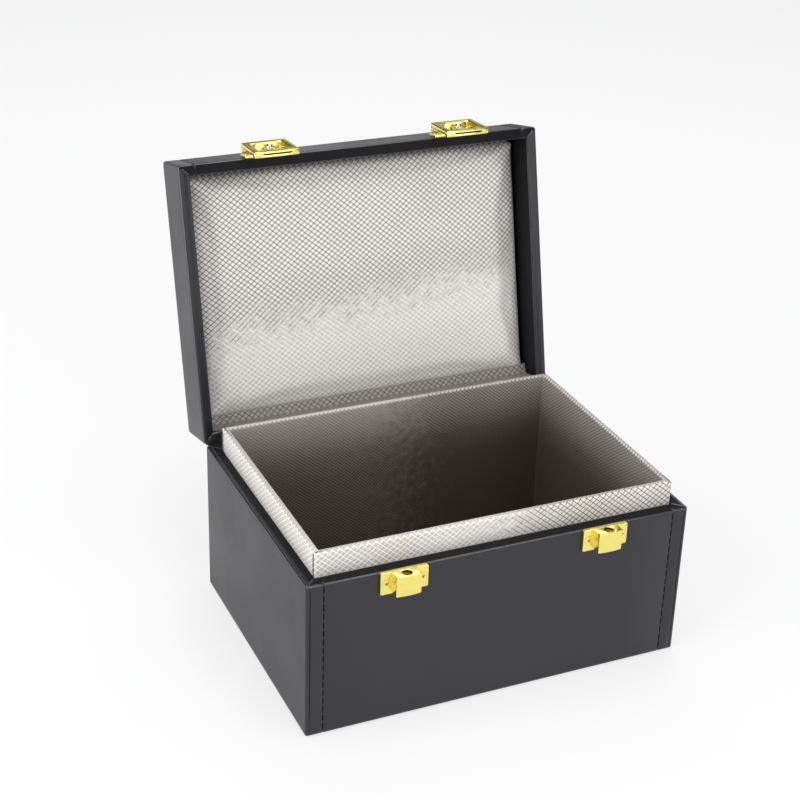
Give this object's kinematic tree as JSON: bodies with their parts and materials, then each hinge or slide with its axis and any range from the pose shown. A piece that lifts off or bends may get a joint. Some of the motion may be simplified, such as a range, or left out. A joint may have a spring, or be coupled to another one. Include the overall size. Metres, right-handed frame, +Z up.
{
  "type": "faraday key box",
  "caption": "Leather-covered key box with a hinged lid, a raised shielding-fabric tray, a padded shielded lid panel and snap latches that swing over hooded catches.",
  "frame": {"origin": "middle of the underside, on the surface the box stands on", "axes": "+Z up, -Y towards the latched front, +X to the right seen from the front; the lid stands open at rest"},
  "size_m": [0.2, 0.2135, 0.2297],
  "materials": {
    "black_leather": "satin",
    "grey_board": "matte",
    "liner_cloth": "satin",
    "panel_cloth": "satin",
    "foam": "matte",
    "bottom_paper": "matte",
    "steel_pin": "polished",
    "gilt_screw": "polished",
    "gilt_casting": "polished"
  },
  "bodies": {
    "base": {"base_back_board": "grey_board", "base_back_wrap": "black_leather", "base_bottom_sheet": "bottom_paper", "base_floor_board": "grey_board", "base_front_board": "grey_board", "base_front_wrap": "black_leather", "base_left_board": "grey_board", "base_left_wrap": "black_leather", "base_right_board": "grey_board", "base_right_wrap": "black_leather", "catch_left": "gilt_casting", "catch_right": "gilt_casting", "catch_screws": "gilt_screw", "floor_pad": "liner_cloth", "hinge_base_leaf_left": "gilt_casting", "hinge_base_leaf_right": "gilt_casting", "hinge_base_screws": "gilt_screw", "hinge_pin_left": "steel_pin", "hinge_pin_right": "steel_pin", "liner_card_back": "grey_board", "liner_card_front": "grey_board", "liner_card_left": "grey_board", "liner_card_right": "grey_board", "liner_fabric_back": "liner_cloth", "liner_fabric_front": "liner_cloth", "liner_fabric_left": "liner_cloth", "liner_fabric_right": "liner_cloth"},
    "lid": {"hinge_lid_leaf_left": "gilt_casting", "hinge_lid_leaf_right": "gilt_casting", "hinge_lid_screws": "gilt_screw", "latch_bracket_left": "gilt_casting", "latch_bracket_right": "gilt_casting", "latch_pin_left": "steel_pin", "latch_pin_right": "steel_pin", "latch_screws": "gilt_screw", "latch_stud_left": "steel_pin", "latch_stud_right": "steel_pin", "lid_back_board": "grey_board", "lid_front_board": "grey_board", "lid_left_board": "grey_board", "lid_panel_board": "grey_board", "lid_panel_fabric": "panel_cloth", "lid_panel_foam": "foam", "lid_right_board": "grey_board", "lid_top_board": "grey_board", "lid_wrap": "black_leather"},
    "loop_left": {"latch_loop_left": "gilt_casting"},
    "loop_right": {"latch_loop_right": "gilt_casting"}
  },
  "joints": [
    {"name": "lid_hinge", "type": "hinge", "parent": "base", "child": "lid", "pos_m": [0, 0.0729, 0.08165], "axis": [1, 0, 0], "range_deg": [0, 102.8]},
    {"name": "loop_left_pivot", "type": "hinge", "parent": "lid", "child": "loop_left", "pos_m": [-0.0526, 0.11166, 0.22585], "axis": [-1, 0, 0], "range_deg": [0, 85]},
    {"name": "loop_right_pivot", "type": "hinge", "parent": "lid", "child": "loop_right", "pos_m": [0.0526, 0.11166, 0.22585], "axis": [-1, 0, 0], "range_deg": [0, 85]}
  ]
}
